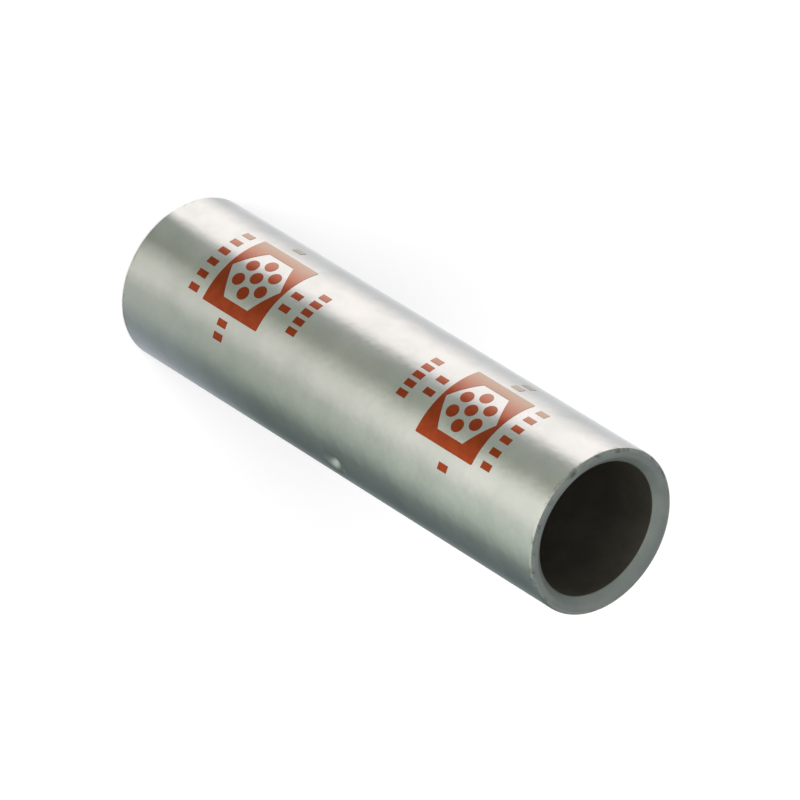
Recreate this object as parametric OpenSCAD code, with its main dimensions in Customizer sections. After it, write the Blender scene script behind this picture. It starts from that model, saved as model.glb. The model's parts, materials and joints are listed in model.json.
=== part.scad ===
// Tin-plated copper butt splice: a plain tube, crimped onto a cable conductor at each end.
// The tube stands on one end, with its axis on +Z and the wire stop punched in from +X.

/* [Tube] */
// Length of the tube from end to end
tube_length = 63.5; // [45:0.5:120]
// Outside diameter of the tube
tube_od = 17.3; // [14:0.1:30]
// Wall of the tube round each conductor socket
socket_wall = 1.7; // [1.3:0.05:3]

/* [Mouths] */
// Bevel inside each mouth that leads the strands into the socket
mouth_bevel = 0.85; // [0.2:0.05:0.9]
// Round on the outer edge of each end
edge_round = 0.4; // [0.1:0.05:0.5]

/* [Wire stop] */
// Depth of the punched dimple below the outside of the tube
dimple_depth = 0.7; // [0.5:0.1:1.2]
// Radius of the punch's nose
punch_nose_r = 1; // [0.7:0.1:1.3]
// Angle between the punch's flank and its own axis
punch_flank = 50; // [40:1:52]
// Round on the rim of the dimple, where the wall is drawn in
rim_round = 0.8; // [0.7:0.1:1.2]
// How far the bump inside the tube stands in from the socket wall
bump_height = 0.5; // [0.4:0.05:1]
// How far above mid-length the punch strikes
stop_offset = 1; // [0:0.1:2]

/* [Band between the sockets] */
// How far the band of unreamed bore stands in from the socket wall
band_step = 0.25; // [0.2:0.05:0.6]
// Length of band left beyond the bump
band_margin = 0.4; // [0.2:0.1:4]

/* [Hidden] */
tin_grey = [0.72, 0.74, 0.74];
tube_r = tube_od / 2;
socket_r = tube_r - socket_wall;
band_r = socket_r - band_step;
middle_z = tube_length / 2;
stop_z = middle_z + stop_offset;

// Heights in the punch's own section are counted from the outside of the tube, inwards negative
nose_h = punch_nose_r - dimple_depth;
bump_root_h = -socket_wall / 2;
// The bump is round about the same centre as the punch's nose
bump_r = nose_h + socket_wall + bump_height;
band_half = bump_r + stop_offset + band_margin;
socket_foot = middle_z - band_half - band_step;

// The round takes over from the flank this far down, deeper than the tube curves away beside it,
// so that the round and not the flank meets the wall all the way about
rim_sink = 0.12;
rim_h = -rim_sink - rim_round * sin(punch_flank);
// Where the flank leaves the nose, and the axis of the rim's round
flank_foot = [
    punch_nose_r * cos(punch_flank),
    nose_h - punch_nose_r * sin(punch_flank)
];
rim_reach = flank_foot[0]
    + (rim_round + sin(punch_flank) * (rim_h - flank_foot[1])) / cos(punch_flank);
flank_head = [
    rim_reach - rim_round * cos(punch_flank),
    rim_h + rim_round * sin(punch_flank)
];
punch_top = 2 * punch_nose_r;

$fn = 128;

// Removes the square corner outside a round of radius edge_round
module edge_cutter() {
    overcut = edge_round;
    difference() {
        square(edge_round + overcut);
        circle(edge_round);
    }
}

// Half of the tube's lengthwise section, with bevelled mouths and the band between the sockets
module wall_section() {
    difference() {
        polygon([
            [socket_r + mouth_bevel, 0],
            [tube_r, 0],
            [tube_r, tube_length],
            [socket_r + mouth_bevel, tube_length],
            [socket_r, tube_length - mouth_bevel],
            [socket_r, tube_length - socket_foot],
            [band_r, tube_length - socket_foot - band_step],
            [band_r, socket_foot + band_step],
            [socket_r, socket_foot],
            [socket_r, mouth_bevel]
        ]);
        translate([tube_r - edge_round, tube_length - edge_round])
            edge_cutter();
        translate([tube_r - edge_round, edge_round])
            mirror([0, 1])
                edge_cutter();
    }
}

// Half of a disc centred on the punch's axis
module half_disc(r) {
    intersection() {
        circle(r);
        translate([0, -r])
            square([r, 2 * r]);
    }
}

// Half section of the punch: round nose, straight flank and flared rim
module punch_section() {
    difference() {
        union() {
            translate([0, nose_h])
                half_disc(punch_nose_r);
            polygon([
                [0, nose_h],
                flank_foot,
                flank_head,
                [rim_reach, rim_h],
                [rim_reach, punch_top],
                [0, punch_top]
            ]);
        }
        translate([rim_reach, rim_h])
            circle(rim_round);
    }
}

// Half section of the bump that the punch raises inside the tube, rooted in the wall
module bump_section() {
    intersection() {
        translate([0, nose_h])
            half_disc(bump_r);
        translate([0, nose_h - bump_r])
            square([bump_r, bump_root_h - nose_h + bump_r]);
    }
}

// Turns a section about the punch's axis, which runs in from +X near mid-length
module at_stop() {
    translate([tube_r, 0, stop_z])
        rotate([0, 90, 0])
            rotate_extrude()
                children();
}

module splice_tube() {
    color(tin_grey)
        difference() {
            union() {
                rotate_extrude()
                    wall_section();
                at_stop()
                    bump_section();
            }
            at_stop()
                punch_section();
        }
}

splice_tube();
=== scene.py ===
# %% [markdown]
# # A tinned copper butt splice
#
# The real object is one short piece of seamless copper tube. A stripped cable goes into each end
# and a tool crimps the tube onto the strands. The makers bevel the mouths, punch a wire stop into
# the wall at mid-length, plate the whole tube with tin and pad-print it with ink.
#
# This lesson dresses that tube for a picture: one bmesh for the tube, two thin films of ink, a few
# node materials, and a small studio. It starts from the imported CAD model, which gives the sizes.

# %% Load the frame
import json
import math

import bmesh
import bpy
from mathutils import Matrix, Vector


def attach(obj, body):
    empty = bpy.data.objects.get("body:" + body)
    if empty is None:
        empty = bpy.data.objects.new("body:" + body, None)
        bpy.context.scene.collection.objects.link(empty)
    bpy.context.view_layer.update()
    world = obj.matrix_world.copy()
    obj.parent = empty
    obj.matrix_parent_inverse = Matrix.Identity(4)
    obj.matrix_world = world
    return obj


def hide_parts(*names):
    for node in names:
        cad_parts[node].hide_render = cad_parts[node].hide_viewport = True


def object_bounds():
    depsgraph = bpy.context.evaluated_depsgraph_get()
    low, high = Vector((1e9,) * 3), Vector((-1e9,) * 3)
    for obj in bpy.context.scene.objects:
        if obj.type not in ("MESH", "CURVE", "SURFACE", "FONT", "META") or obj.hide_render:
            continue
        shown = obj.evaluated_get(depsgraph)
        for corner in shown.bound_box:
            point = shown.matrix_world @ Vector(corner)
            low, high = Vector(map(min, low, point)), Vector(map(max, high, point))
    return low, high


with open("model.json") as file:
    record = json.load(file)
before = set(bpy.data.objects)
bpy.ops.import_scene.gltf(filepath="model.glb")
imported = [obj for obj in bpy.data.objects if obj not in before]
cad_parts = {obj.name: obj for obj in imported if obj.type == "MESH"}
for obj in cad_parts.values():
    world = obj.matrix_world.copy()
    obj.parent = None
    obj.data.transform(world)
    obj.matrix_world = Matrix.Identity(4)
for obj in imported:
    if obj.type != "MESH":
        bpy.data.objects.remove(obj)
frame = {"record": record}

MM = 0.001

cad_low, cad_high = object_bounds()
print("CAD box in mm:", [round(side / MM, 2) for side in cad_high - cad_low])

# %% [markdown]
# ## Sizes
#
# Blender works in metres here and the tube is thought of in millimetres, so the factor MM joins
# the two. The tube's radius and length come from the CAD box and the bore from the record's mount.
# The small sizes that a box can't tell are the maker's own: bevels, rounds and the stop's place.

# %% Sizes of the tube
mounts = {mount["name"]: mount for mount in frame["record"]["mounts"]}
socket = mounts["upper_socket"]["dims"]
tube_r = cad_high.x
tube_length = cad_high.z
socket_r = socket["r_mm"] * MM
socket_length = socket["length_mm"] * MM
wall = tube_r - socket_r

mouth_bevel = 0.85 * MM
outer_round = 0.4 * MM
band_step = 0.25 * MM
band_r = socket_r - band_step
socket_foot = mouth_bevel + socket_length

stop_offset = 1.0 * MM
middle_z = tube_length / 2
stop_z = middle_z + stop_offset
print(f"tube {2 * tube_r / MM:.2f} x {tube_length / MM:.2f} mm, wall {wall / MM:.2f} mm")

# %% [markdown]
# ## Camera
#
# The picture is taken from above and in front with a long lens, and the camera is turned on its
# side, so that a tube which stands on its end runs from the top left to the bottom right. Three
# angles say all of this: azimuth round the tube, elevation above the table, and roll.

# %% Set the camera
camera_azimuth = math.radians(23.5)
camera_elevation = math.radians(42.35)
camera_roll = math.radians(-121.72)
camera_distance = 878.4 * MM
camera_aim = Vector((-0.56, -0.24, 32.63)) * MM
# Blender takes the sensor and the lens in millimetres
sensor_mm = 36
lens_mm = 408.4


def towards(azimuth, elevation):
    """Unit vector from the tube towards this azimuth and elevation."""
    return Vector((
        math.sin(azimuth) * math.cos(elevation),
        -math.cos(azimuth) * math.cos(elevation),
        math.sin(elevation),
    ))


back = towards(camera_azimuth, camera_elevation)
level_right = Vector((math.cos(camera_azimuth), math.sin(camera_azimuth), 0))
level_up = back.cross(level_right)
image_up = level_up * math.cos(camera_roll) + level_right * math.sin(camera_roll)
image_right = image_up.cross(back)

camera = bpy.data.objects.new("camera", bpy.data.cameras.new("camera"))
camera.data.sensor_width = sensor_mm
camera.data.lens = lens_mm
camera.matrix_world = Matrix.Translation(camera_aim + back * camera_distance) @ Matrix(
    (image_right, image_up, back)
).transposed().to_4x4()
bpy.context.collection.objects.link(camera)
bpy.context.scene.camera = camera
bpy.context.scene.view_settings.view_transform = "Standard"
print("camera stands at", [round(c / MM, 1) for c in camera.matrix_world.translation], "mm")

# %% [markdown]
# ## Helpers for materials
#
# Every colour is written the way a colour picker shows it, as an sRGB hex value, and one function
# turns it into the linear numbers that the renderer uses. Another adds a node, sets it up and links
# it in one call, so that each material below reads as a short list of its parts. No finish of the
# part is one flat colour, so a third gives the patches, in two tones, that they all start from.

# %% Colours and nodes


def linear(hex_colour):
    """Turn an sRGB hex value such as #C0FFEE into linear RGBA."""
    channels = [int(hex_colour[i:i + 2], 16) / 255 for i in (1, 3, 5)]
    return [c / 12.92 if c <= 0.04045 else ((c + 0.055) / 1.055) ** 2.4 for c in channels] + [1]


def add_node(tree, kind, inputs=None, **settings):
    """Add a node, set its properties, then set or link its inputs.

    A node that is given as an input stands for its own first output.
    """
    node = tree.nodes.new("ShaderNode" + kind)
    for name, value in settings.items():
        setattr(node, name, value)
    for name, value in (inputs or {}).items():
        if isinstance(value, bpy.types.Node):
            value = value.outputs[0]
        if isinstance(value, bpy.types.NodeSocket):
            tree.links.new(value, node.inputs[name])
        else:
            node.inputs[name].default_value = value
    return node


def new_material(name):
    """Start a material with an empty node tree."""
    material = bpy.data.materials.new(name)
    material.use_nodes = True
    material.node_tree.nodes.clear()
    return material, material.node_tree


def per_size(size):
    """Scale of a noise whose blotches are about this many metres across."""
    return 1 / size


def mottled(tree, place, size, tones, spread=(0.3, 0.7), **noise):
    """Patches about this many metres across, and the two tones that they shade between."""
    patches = add_node(tree, "TexNoise", {"Vector": place, "Scale": per_size(size), **noise})
    tone = add_node(tree, "ValToRGB", {"Fac": patches})
    for stop, position, colour in zip(tone.color_ramp.elements, spread, tones):
        stop.position = position
        stop.color = linear(colour)
    return patches, tone


print("sRGB mid grey #808080 is", round(linear("#808080")[0], 3), "in linear light")

# %% [markdown]
# ## Satin tin
#
# Tin is plated from a bath onto copper tube that was drawn through a die. The plating is a soft
# silvery white, less blue than chrome and less grey than zinc. It follows the drawn surface, so it
# has faint lines along the tube, and it wets unevenly, so reflections are clear in one place and
# cloudy in the next. The eye sees broad soft bands of light with edges that wander a little. Tubes
# are plated loose in a turning barrel, where they knock together, so the end edges have small nicks.
#
# A photograph of plating could be wrapped on, but nodes stay sharp at any size: one noise for the
# cloudy patches, one stretched along the tube for the draw lines, one for slow waves, and a fine one
# for the nicks that counts only next to the ends.

# %% Make the tin
cloud_size = 4.5 * MM
line_width, line_stretch, line_depth = 0.35 * MM, 50, 0.01 * MM
wave_size, wave_depth = 3.2 * MM, 0.052 * MM
# Nicks are strongest this near to an end, and gone this far from it
nick_size, nick_near, nick_far = 0.9 * MM, 0.3 * MM, 0.6 * MM


def satin_tin():
    """Electroplated tin on drawn copper tube: a soft cloudy silver with faint draw lines."""
    material, tree = new_material("satin_tin_plate")
    place = add_node(tree, "TexCoord").outputs["Object"]
    clouds, tone = mottled(
        tree, place, cloud_size, ("#C8CAC7", "#D6D6D4"), Detail=4, Roughness=0.6
    )
    gloss = add_node(tree, "MapRange", {"Value": clouds, "To Min": 0.2, "To Max": 0.3})

    # Nicks: only the high spots of the noise, and only along the two end edges
    height = add_node(tree, "SeparateXYZ", {0: place}).outputs["Z"]
    offset = add_node(tree, "Math", {0: height, 1: middle_z}, operation="SUBTRACT")
    from_middle = add_node(tree, "Math", {0: offset}, operation="ABSOLUTE")
    at_edge = add_node(
        tree,
        "MapRange",
        {"Value": from_middle, "From Min": middle_z - nick_far, "From Max": middle_z - nick_near},
    )
    knocks = add_node(
        tree, "TexNoise", {"Vector": place, "Scale": per_size(nick_size), "Detail": 2}
    )
    deep = add_node(tree, "MapRange", {"Value": knocks, "From Min": 0.5, "From Max": 0.72})
    nick = add_node(tree, "Math", {0: at_edge, 1: deep}, operation="MULTIPLY")
    worn = add_node(tree, "MixRGB", {"Fac": nick, "Color1": tone, "Color2": linear("#96978F")})

    # Relief: draw lines along the tube, under slow waves
    along = add_node(tree, "Mapping", {"Vector": place, "Scale": (1, 1, 1 / line_stretch)})
    lines = add_node(
        tree, "TexNoise", {"Vector": along, "Scale": per_size(line_width), "Detail": 2}
    )
    lined = add_node(tree, "Bump", {"Height": lines, "Strength": 0.12, "Distance": line_depth})
    waves = add_node(
        tree,
        "TexNoise",
        {"Vector": place, "Scale": per_size(wave_size), "Detail": 3, "Roughness": 0.6},
    )
    wavy = add_node(
        tree, "Bump", {"Height": waves, "Strength": 1.0, "Distance": wave_depth, "Normal": lined}
    )
    metal = add_node(
        tree,
        "BsdfPrincipled",
        {"Base Color": worn, "Metallic": 1.0, "Roughness": gloss, "Normal": wavy},
    )
    add_node(tree, "OutputMaterial", {"Surface": metal})
    return material


tin = satin_tin()
print("made", tin.name, "with", len(tin.node_tree.nodes), "nodes")

# %% [markdown]
# ## Cut ends and bore
#
# The ends are turned on a lathe before plating, which leaves fine rings and a slightly darker,
# bluer grey. Inside the bore the bath hardly reaches, so the tin is thin and dull there and the
# brown of the copper shows through. Both get a material of their own.

# %% Make the ends and the bore
end_stain_size, bore_stain_size = 2.5 * MM, 3 * MM
ring_pitch, ring_depth = 0.16 * MM, 0.01 * MM
# At scale 1 the wave texture takes 20 radians for each metre
wave_radians = 20


def turned_end():
    """Tin over a face cut on a lathe: fine rings about the axis, a cooler grey."""
    material, tree = new_material("tin_on_turned_end")
    place = add_node(tree, "TexCoord").outputs["Object"]
    _, tone = mottled(tree, place, end_stain_size, ("#BFC3C4", "#D0D1CE"), Detail=4)
    ring_scale = math.tau / wave_radians / ring_pitch
    rings = add_node(
        tree,
        "TexWave",
        {"Vector": place, "Scale": ring_scale, "Distortion": 1.5, "Detail": 2},
        wave_type="RINGS",
        rings_direction="Z",
    ).outputs["Fac"]
    ringed = add_node(tree, "Bump", {"Height": rings, "Strength": 0.15, "Distance": ring_depth})
    metal = add_node(
        tree,
        "BsdfPrincipled",
        {"Base Color": tone, "Metallic": 1.0, "Roughness": 0.55, "Normal": ringed},
    )
    add_node(tree, "OutputMaterial", {"Surface": metal})
    return material


def dull_bore():
    """Thin dull tin inside the tube, browned where the copper shows through."""
    material, tree = new_material("thin_tin_in_bore")
    place = add_node(tree, "TexCoord").outputs["Object"]
    _, tone = mottled(
        tree, place, bore_stain_size, ("#A29C90", "#B0AA9E"), spread=(0.35, 0.65), Detail=5
    )
    metal = add_node(
        tree, "BsdfPrincipled", {"Base Color": tone, "Metallic": 0.96, "Roughness": 0.5}
    )
    add_node(tree, "OutputMaterial", {"Surface": metal})
    return material


end_tin = turned_end()
bore_tin = dull_bore()
print("made", end_tin.name, "and", bore_tin.name)

# %% [markdown]
# ## The tube
#
# The tube could be a cylinder with a hole, but its edges catch the light, so they matter. The
# section of its wall is drawn once as a loop of points, its corners are rounded by a bevel, and a
# full spin turns it into a tube. The wall is cut finer near mid-length, where the stop goes.

# %% Draw the section of the wall
stop_reach = 2.6 * MM
fine_step = 0.14 * MM
long_step = 3.5 * MM
land_round = 0.3 * MM
mouth_round = 0.12 * MM
band_round = 0.1 * MM
# Points closer together than a hair count as one
hair = 0.001 * MM

section = [
    (socket_r + mouth_bevel, 0),
    (tube_r, 0),
    (tube_r, stop_z - stop_reach),
    (tube_r, stop_z + stop_reach),
    (tube_r, tube_length),
    (socket_r + mouth_bevel, tube_length),
    (socket_r, tube_length - mouth_bevel),
    (socket_r, tube_length - socket_foot),
    (band_r, tube_length - socket_foot - band_step),
    (band_r, stop_z + stop_reach),
    (band_r, stop_z - stop_reach),
    (band_r, socket_foot + band_step),
    (socket_r, socket_foot),
    (socket_r, mouth_bevel),
]
tube = bmesh.new()
corners = [tube.verts.new((r, 0, z)) for r, z in section]
for start, end in zip(corners, corners[1:] + corners[:1]):
    tube.edges.new((start, end))

outer_edges = [corners[1], corners[4]]
land_corners = [corners[0], corners[5]]
mouth_corners = [corners[6], corners[13]]
band_corners = corners[7:9] + corners[11:13]
for picked, size, segments in (
    (outer_edges, outer_round, 8),
    (land_corners, land_round, 5),
    (mouth_corners, mouth_round, 4),
    (band_corners, band_round, 3),
):
    bmesh.ops.bevel(
        tube,
        geom=picked,
        offset=size,
        segments=segments,
        profile=0.5,
        affect="VERTICES",
        material=-1,
    )
print("section drawn:", len(tube.verts), "points")

# %% Cut the section finer and spin it
spin_steps = 288

for edge in tube.edges[:]:
    near_stop = all(abs(v.co.z - stop_z) < stop_reach + hair for v in edge.verts)
    cuts = int(edge.calc_length() / (fine_step if near_stop else long_step))
    if cuts:
        bmesh.ops.subdivide_edges(tube, edges=[edge], cuts=cuts)

bmesh.ops.spin(
    tube,
    geom=tube.verts[:] + tube.edges[:],
    cent=(0, 0, 0),
    axis=(0, 0, 1),
    angle=math.tau,
    steps=spin_steps,
    use_merge=True,
)
bmesh.ops.remove_doubles(tube, verts=tube.verts, dist=hair)
bmesh.ops.recalc_face_normals(tube, faces=tube.faces)
print("tube spun:", len(tube.faces), "faces")

# %% [markdown]
# ## The wire stop
#
# A round-nosed punch strikes the wall from outside, so the wall sinks into a dimple and rises in a
# bump inside, where the cable meets it and stops. A real dimple has no sharp rim: the metal around
# it is dragged in. A boolean cut would leave a crisp edge, so the vertices of the spun wall are
# pushed down instead, to a soft minimum of the wall and the punch.

# %% Punch the wire stop
dimple_depth = 0.7 * MM
nose_r = 1.0 * MM
bump_height = 0.5 * MM
flank_angle = math.radians(50)
drawn_in = 0.5 * MM


def soft_min(a, b, width):
    """The smaller of two numbers, with a round of this width where they meet."""
    mix = max(width - abs(a - b), 0) / width
    return min(a, b) - mix * mix * width / 4


def punch_height(off_axis):
    """How high the punch's skin stands above its tip, this far from its own axis."""
    nose_ends = nose_r * math.cos(flank_angle)
    if off_axis < nose_ends:
        return nose_r - math.sqrt(nose_r ** 2 - off_axis ** 2)
    foot = nose_r - math.sqrt(nose_r ** 2 - nose_ends ** 2)
    return foot + (off_axis - nose_ends) / math.tan(flank_angle)


tip = tube_r - dimple_depth
bump_r = nose_r - dimple_depth + wall + bump_height
for vert in tube.verts:
    off_axis = math.hypot(vert.co.y, vert.co.z - stop_z)
    if vert.co.x < band_r / 2 or off_axis > stop_reach:
        continue
    outside = math.hypot(vert.co.x, vert.co.y) > tube_r - wall / 2
    if outside:
        vert.co.x = soft_min(vert.co.x, tip + punch_height(off_axis), drawn_in)
    elif off_axis < bump_r:
        bump = tip + nose_r - math.sqrt(bump_r ** 2 - off_axis ** 2)
        vert.co.x = soft_min(vert.co.x, bump, drawn_in)
deepest = min(v.co.x for v in tube.verts if v.co.x > 0 and abs(v.co.y) < hair)
print(f"wire stop reaches in to {deepest / MM:.2f} mm from the axis")

# %% [markdown]
# ## Finish the tube
#
# Faces get one of the three finishes by where they lie: the bore, the two cut ends with their
# bevels, and the rest. Then the mesh becomes an object, rides on the part's one body and stands in
# for the plain CAD tube, which is hidden but stays in the scene. Then the mesh becomes an object,
# rides on the part's one body and stands in for the plain CAD tube, which stays behind for
# collision.

# %% Give the tube its finishes
sharp_angle = math.radians(30)


def make_object(bm, name, materials):
    """Make an object of a bmesh, with its place in its mesh."""
    mesh = bpy.data.meshes.new(name)
    bm.to_mesh(mesh)
    bm.free()
    for material in materials:
        mesh.materials.append(material)
    thing = bpy.data.objects.new(name, mesh)
    bpy.context.collection.objects.link(thing)
    return thing


def add_piece(bm, name, materials):
    """Make a smooth piece of the part, which rides on the part's one body."""
    piece = make_object(bm, name, materials)
    piece.data.shade_smooth()
    piece.data.set_sharp_from_angle(angle=sharp_angle)
    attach(piece, "root")
    return piece


OUTSIDE, END, BORE = range(3)
for face in tube.faces:
    middle = face.calc_center_median()
    radius = math.hypot(middle.x, middle.y)
    from_end = min(middle.z, tube_length - middle.z)
    if from_end > mouth_bevel and radius < tube_r - wall / 2:
        face.material_index = BORE
    elif from_end < mouth_bevel and radius < tube_r - outer_round:
        face.material_index = END
    else:
        face.material_index = OUTSIDE

tube_piece = add_piece(tube, "tinned_tube", [tin, end_tin, bore_tin])
flatten = tube_piece.modifiers.new("flat faces stay flat", "WEIGHTED_NORMAL")
flatten.keep_sharp = True
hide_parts("splice_tube")
print("tube piece:", len(tube_piece.data.polygons), "faces")

# %% [markdown]
# ## Printing ink
#
# The marks are pad-printed in a rust-orange ink, the colour that tells an electrician which
# crimping die to use. Such ink dries to a film a few hundredths of a millimetre thick. It is a
# glaze: light goes through it, comes back from the tin below and is tinted twice, so the ink is deep
# where the metal is dark and bright where the metal is bright. Its own skin adds a clear gloss, which
# pales it in the highlight. Tinted metal under a clear coat gives just that. Towards one side of the
# tube the ink's colour is also mixed towards a pale tin-beige. This is a painted highlight: the glare
# of the bright card, painted into the ink.

# %% Make the ink
ink_patch_size = 0.9 * MM
# Across the tube, the painted highlight starts at the first place and is strongest from the second on
highlight_from, highlight_to = -0.5 * MM, -4.9 * MM
highlight_most = 0.9


def pad_ink():
    """Pad-printed epoxy ink: a deep rust glaze over tin with a gloss skin, and a painted highlight
    that pales it at one side.
    """
    material, tree = new_material("pad_printed_ink")
    place = add_node(tree, "TexCoord").outputs["Object"]
    _, tone = mottled(tree, place, ink_patch_size, ("#9B3606", "#AA4008"), Detail=3)
    # Painted highlight: towards one side of the tube the ink's colour is mixed towards a pale
    # tin-beige, standing for the bright card's glare
    across = add_node(tree, "SeparateXYZ", {0: place}).outputs["X"]
    painted_highlight = add_node(
        tree,
        "MapRange",
        {"Value": across, "From Min": highlight_from, "From Max": highlight_to, "To Max": highlight_most},
    )
    highlit_ink = add_node(tree, "MixRGB", {"Fac": painted_highlight, "Color1": tone, "Color2": linear("#B6AE9C")})
    ink = add_node(
        tree,
        "BsdfPrincipled",
        {
            "Base Color": highlit_ink,
            "Metallic": 0.95,
            "Roughness": 0.35,
            "Coat Weight": 0.65,
            "Coat Roughness": 0.25,
            "Coat IOR": 1.35,
        },
    )
    add_node(tree, "OutputMaterial", {"Surface": ink})
    return material


rust_ink = pad_ink()
print("made", rust_ink.name)

# %% [markdown]
# ## The printed marks
#
# Each end carries the same mark, turned so that it reads from that end: a square field with a
# six-sided window, seven dots in it for the strands of a cable, and rows of plain bars. A mark is
# drawn flat, as on the printing pad, then cut into narrow strips, given its thickness and rolled
# onto the tube. Cutting first lets the flat shape bend smoothly.

# %% Draw the mark flat
field_w, field_h = 9.1 * MM, 8.4 * MM
field_corner = 0.15 * MM
window_r = 3.75 * MM
strand_r, strand_pitch = 0.72 * MM, 2.0 * MM
strand_segments = 20
bar_w, bar_h = 0.75 * MM, 1.3 * MM

# Rows of bars: how many, the step between them, and the middle of the row on the pad
bar_rows = [
    (5, 1.2 * MM, (-0.3 * MM, -8.25 * MM)),
    (2, 1.8 * MM, (-0.25 * MM, -5.65 * MM)),
    (6, 1.57 * MM, (-0.05 * MM, 5.95 * MM)),
    (1, 0, (6.2 * MM, 0.9 * MM)),
    (2, 1.4 * MM, (-6.3 * MM, 0.4 * MM)),
]


def add_plate(bm, width, height, at):
    """Add a flat rectangle to the pad and return its corner vertices."""
    made = bmesh.ops.create_grid(bm, x_segments=1, y_segments=1, size=0.5)["verts"]
    bmesh.ops.scale(bm, vec=(width, height, 1), verts=made)
    bmesh.ops.translate(bm, vec=(at[0], at[1], 0), verts=made)
    return made


def add_field(bm):
    """Add the square field with its six-sided window to an empty pad."""
    plate = add_plate(bm, field_w, field_h, (0, 0))
    bmesh.ops.bevel(
        bm,
        geom=plate,
        offset=field_corner,
        segments=4,
        profile=0.5,
        affect="VERTICES",
        material=-1,
    )
    bmesh.ops.delete(bm, geom=bm.faces[:], context="FACES_ONLY")
    bmesh.ops.create_circle(bm, cap_ends=False, segments=6, radius=window_r)
    bmesh.ops.triangle_fill(bm, edges=bm.edges[:], use_beauty=True, normal=(0, 0, 1))


def flat_mark(turn):
    """Draw the whole mark on a new pad, turned in its own plane."""
    bm = bmesh.new()
    add_field(bm)
    dots = [Vector((0, 0, 0))]
    for i in range(6):
        dots.append(Matrix.Rotation(i * math.tau / 6, 3, "Z") @ Vector((strand_pitch, 0, 0)))
    for dot in dots:
        bmesh.ops.create_circle(
            bm,
            cap_ends=True,
            segments=strand_segments,
            radius=strand_r,
            matrix=Matrix.Translation(dot),
        )
    for count, step, (x, y) in bar_rows:
        for i in range(count):
            add_plate(bm, bar_w, bar_h, (x + (i - (count - 1) / 2) * step, y))
    bmesh.ops.rotate(bm, verts=bm.verts, matrix=Matrix.Rotation(turn, 3, "Z"))
    return bm


print("bars in each mark:", sum(count for count, _, _ in bar_rows))

# %% Cut, thicken and roll the marks
strip = 0.35 * MM
# A cut close to a point that is there already leaves slivers smaller than this
sliver = 0.002 * MM
# The film stands out of the tube's skin by this much, and goes as far into it
proud = 0.025 * MM
print_shift = 0.13 * MM
upper_mark_z, lower_mark_z = 48.4 * MM, 15.4 * MM


def cut_into_strips(bm):
    """Cut the flat mark into strips along the tube, and clear away the slivers."""
    cuts = int(max(v.co.x for v in bm.verts) / strip)
    for i in range(-cuts, cuts + 1):
        bmesh.ops.bisect_plane(
            bm,
            geom=bm.verts[:] + bm.edges[:] + bm.faces[:],
            plane_co=(i * strip, 0, 0),
            plane_no=(1, 0, 0),
        )
    bmesh.ops.remove_doubles(bm, verts=bm.verts, dist=sliver)
    bmesh.ops.dissolve_degenerate(bm, dist=sliver, edges=bm.edges)


def roll_onto_tube(bm, mark_z):
    """Give the flat mark its thickness and roll it onto the front of the tube."""
    bmesh.ops.recalc_face_normals(bm, faces=bm.faces)
    bmesh.ops.solidify(bm, geom=bm.faces[:], thickness=2 * proud)
    lowest = min(v.co.z for v in bm.verts)
    for vert in bm.verts:
        round_tube = (vert.co.x + print_shift) / tube_r
        out = tube_r - proud + vert.co.z - lowest
        vert.co = (out * math.sin(round_tube), -out * math.cos(round_tube), mark_z + vert.co.y)
    bmesh.ops.recalc_face_normals(bm, faces=bm.faces)


for name, mark_z, turn in (
    ("upper_mark", upper_mark_z, 0),
    ("lower_mark", lower_mark_z, math.pi),
):
    mark = flat_mark(turn)
    cut_into_strips(mark)
    roll_onto_tube(mark, mark_z)
    piece = add_piece(mark, name, [rust_ink])
    print(name, "has", len(piece.data.polygons), "faces")

# %% [markdown]
# ## Table and background
#
# The part stands on a plain white table in front of white. Both show white to the camera and to
# reflections by asking the light path which kind of ray has arrived, while the table's own diffuse
# part keeps the soft shadow.

# %% Make the table and the world
table_r = 1.5
table_drop = 0.06 * MM
table_glow = 0.5
ambient = 0.4
stage_segments = 96


def seen_rays(tree):
    """One where the ray comes from the camera, a gloss or a glass, and zero elsewhere."""
    rays = add_node(tree, "LightPath").outputs
    either = add_node(
        tree, "Math", {0: rays["Is Camera Ray"], 1: rays["Is Glossy Ray"]}, operation="MAXIMUM"
    )
    return add_node(
        tree, "Math", {0: either, 1: rays["Is Transmission Ray"]}, operation="MAXIMUM"
    )


def white_table():
    """Matt white paper, lifted to full white where it is seen."""
    material, tree = new_material("white_table")
    matt = add_node(tree, "BsdfDiffuse", {"Color": linear("#CCCCCC")})
    lift = add_node(tree, "Math", {0: seen_rays(tree), 1: table_glow}, operation="MULTIPLY")
    glow = add_node(tree, "Emission", {"Strength": lift})
    both = add_node(tree, "AddShader", {0: matt, 1: glow})
    add_node(tree, "OutputMaterial", {"Surface": both})
    return material


def white_room():
    """A world that is white where it is seen, and gives a softer light."""
    world = bpy.data.worlds.new("white_room")
    world.use_nodes = True
    tree = world.node_tree
    tree.nodes.clear()
    level = add_node(
        tree, "MapRange", {"Value": seen_rays(tree), "To Min": ambient, "To Max": 1.0}
    )
    sky = add_node(tree, "Background", {"Color": linear("#FFFFFF"), "Strength": level})
    add_node(tree, "OutputWorld", {"Surface": sky})
    return world


def stage_object(bm, name, material):
    """Make an object of a bmesh for the stage round the splice."""
    thing = make_object(bm, name, [material])
    return thing


disc = bmesh.new()
bmesh.ops.create_circle(disc, cap_ends=True, segments=stage_segments, radius=table_r)
bmesh.ops.translate(disc, vec=(0, 0, -table_drop), verts=disc.verts)
stage_object(disc, "table", white_table())
bpy.context.scene.world = white_room()
print("table of", table_r, "m radius, ambient light", ambient)
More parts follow.
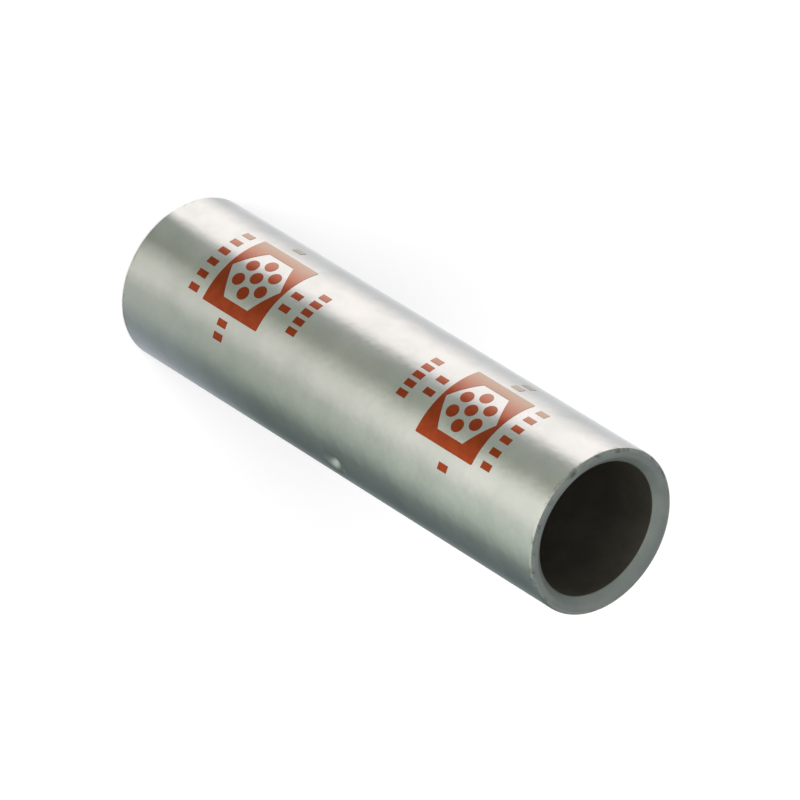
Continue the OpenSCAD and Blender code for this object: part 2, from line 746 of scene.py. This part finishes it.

# %% [markdown]
# ## Cards round the tube
#
# A polished tube shows its surroundings and little else, so a photographer lays white, grey and
# black cards round it. The tube stands and the camera looks down, so every point of it mirrors a
# spot on the table in a direction set only by the angle round the tube. A ring of card whose tone
# changes with direction therefore draws bands along the tube. Only reflections see the ring.
#
# Light falls off on real cards too: some are brighter further out, where they leave the tube's
# shade, and a pale sheet lies at the foot of the tube on the stop's side. A dark pad under the bore
# is painted shade: it stands for the shade at the foot of the bore, which the table's glow would
# hide.

# %% Choose the cards
card_strength = 1.5
outward_gain = 0.4
gain_from, gain_to = 40 * MM, 78 * MM
sheet_tone, sheet_width = "#AEB3BA", 20 * MM
sheet_from, sheet_to = math.radians(24), math.radians(97)
closing_rounds = 4

# Angle round the tube from the camera's side towards the stop in degrees, the tone of the card
# mirrored there, and how fully that card takes the outward gain
card_tones = [
    (-90, "#BFC3C4", 0),
    (-85, "#E0E1E3", 0),
    (-74, "#BCBDC0", 0),
    (-65, "#BFC0C2", 0),
    (-50, "#FFF9F7", 0),
    (-33, "#FFF9F8", 0),
    (-25.5, "#8F948F", 0),
    (-8, "#84897E", 0.3),
    (5, "#C2C3BB", 1),
    (14, "#C6C6BF", 1),
    (25, "#A3A8A0", 1),
    (36, "#98A097", 1),
    (52, "#5E6764", 0.7),
    (70, "#50585A", 0.3),
    (80, "#727A79", 0),
    (85, "#8B9291", 0),
    (90, "#BFC3C4", 0),
]


def card_paper():
    """Paper cards in strips, each along the line in which one side of the tube mirrors the table."""
    material, tree = new_material("studio_cards")
    place = add_node(tree, "TexCoord").outputs["Object"]
    turned = add_node(
        tree, "Mapping", {"Vector": place, "Rotation": (0, 0, math.pi / 2 - camera_azimuth)}
    )
    parts = add_node(tree, "SeparateXYZ", {0: turned}).outputs
    away = add_node(tree, "VectorMath", {0: turned}, operation="LENGTH").outputs["Value"]
    bearing = add_node(tree, "Math", {0: parts["Y"], 1: parts["X"]}, operation="ARCTAN2")
    near = add_node(tree, "Math", {0: tube_r, 1: away}, operation="DIVIDE")

    # The mirrored line starts at the skin and not at the axis, so its angle is found by closing in
    angle = add_node(tree, "Math", {0: bearing, 1: 0.5}, operation="MULTIPLY")
    for _ in range(closing_rounds):
        side = add_node(tree, "Math", {0: angle}, operation="SINE")
        lean = add_node(tree, "Math", {0: side, 1: near}, operation="MULTIPLY")
        swing = add_node(tree, "Math", {0: lean}, operation="ARCSINE")
        twice = add_node(tree, "Math", {0: bearing, 1: swing}, operation="ADD")
        angle = add_node(tree, "Math", {0: twice, 1: 0.5}, operation="MULTIPLY")

    along = add_node(tree, "Math", {0: angle, 1: 1 / math.pi, 2: 0.5}, operation="MULTIPLY_ADD")
    tones = add_node(tree, "ValToRGB", {"Fac": along})
    ramp = tones.color_ramp
    while len(ramp.elements) < len(card_tones):
        ramp.elements.new(1.0)
    for stop, (degrees, tone, takes_gain) in zip(ramp.elements, card_tones):
        stop.position = degrees / 180 + 0.5
        stop.color = linear(tone)[:3] + [takes_gain]

    # Each factor runs from 0 to 1: towards the stop's side, towards the foot, and outwards
    stop_side = add_node(
        tree, "MapRange", {"Value": angle, "From Min": sheet_from, "From Max": sheet_to}
    )
    at_foot = add_node(
        tree, "MapRange", {"Value": away, "From Min": tube_r + sheet_width, "From Max": tube_r}
    )
    outwards = add_node(
        tree, "MapRange", {"Value": away, "From Min": gain_from, "From Max": gain_to}
    )
    on_sheet = add_node(tree, "Math", {0: stop_side, 1: at_foot}, operation="MULTIPLY")
    colour = add_node(
        tree, "MixRGB", {"Fac": on_sheet, "Color1": tones, "Color2": linear(sheet_tone)}
    )
    gain = add_node(tree, "Math", {0: tones.outputs["Alpha"], 1: outwards}, operation="MULTIPLY")
    strength = add_node(
        tree,
        "Math",
        {0: gain, 1: outward_gain * card_strength, 2: card_strength},
        operation="MULTIPLY_ADD",
    )
    light = add_node(tree, "Emission", {"Color": colour, "Strength": strength})
    add_node(tree, "OutputMaterial", {"Surface": light})
    return material


def plain_card(name, tone):
    """A card of one tone, which glows at its own colour."""
    material, tree = new_material(name)
    light = add_node(tree, "Emission", {"Color": linear(tone), "Strength": 1.0})
    add_node(tree, "OutputMaterial", {"Surface": light})
    return material


cards = card_paper()
grey = plain_card("grey_room", "#929895")
# The near-black pad is painted shade: the shade at the foot of the bore
dark = plain_card("bore_shade_pad", "#2A2620")
print("cards:", cards.name, "in", len(card_tones), "tones,", grey.name, "and", dark.name)

# %% Lay the cards
ring_inner, ring_outer = socket_r, 350 * MM
low_wall_r = ring_outer - 1 * MM
low_wall_height = 200 * MM
low_wall_bearings = (-50, 135)
wall_height = 600 * MM
ceiling_hole = 1 * MM
pad_hole = 0.01 * MM
card_z = -table_drop / 2
full_turn = (-180, 180)


def only_in_reflections(thing):
    """Hide a stage object from everything but glossy rays."""
    thing.visible_camera = False
    thing.visible_diffuse = False
    thing.visible_transmission = False
    thing.visible_shadow = False


def spun_card(name, start, end, material, bearings=full_turn):
    """Spin a line from one (radius, height) to another about the tube, between two bearings."""
    bm = bmesh.new()
    first = camera_azimuth - math.pi / 2 + math.radians(bearings[0])
    ends = [
        bm.verts.new((radius * math.cos(first), radius * math.sin(first), height))
        for radius, height in (start, end)
    ]
    line = bm.edges.new(ends)
    bmesh.ops.spin(
        bm,
        geom=ends + [line],
        cent=(0, 0, 0),
        axis=(0, 0, 1),
        angle=math.radians(bearings[1] - bearings[0]),
        steps=stage_segments,
        use_merge=bearings == full_turn,
    )
    card = stage_object(bm, name, material)
    only_in_reflections(card)
    return card


stage = [
    spun_card("card_ring", (ring_inner, card_z), (ring_outer, card_z), cards),
    spun_card(
        "low_wall", (low_wall_r, card_z), (low_wall_r, low_wall_height), cards, low_wall_bearings
    ),
    spun_card("grey_wall", (ring_outer, card_z), (ring_outer, wall_height), grey),
    spun_card("grey_ceiling", (ceiling_hole, wall_height), (ring_outer, wall_height), grey),
    # Painted shade: a dark disc filling the foot of the bore, seen only in reflections
    spun_card("bore_shade_pad", (pad_hole, card_z), (ring_inner, card_z), dark),
]
print("cards laid:", [thing.name for thing in stage])

# %% [markdown]
# ## Lamp
#
# The ink and the table are not mirrors, so they need light of their own: a large soft lamp above
# the camera. Its shadow falls straight behind the tube. It stays out of reflections, because the
# cards already are what the metal sees.

# %% Hang the lamp
lamp_distance = 1.1
lamp_elevation = math.radians(58)
lamp_size = 0.7
lamp_power = 9.5

light = bpy.data.lights.new("soft_lamp", "AREA")
light.shape = "DISK"
light.size = lamp_size
light.energy = lamp_power
lamp = bpy.data.objects.new("soft_lamp", light)
lamp.location = lamp_distance * towards(camera_azimuth, lamp_elevation)
lamp.rotation_euler = lamp.location.to_track_quat("Z", "Y").to_euler()
lamp.visible_glossy = False
bpy.context.collection.objects.link(lamp)
print("lamp of", lamp_power, "W at", lamp_distance, "m")
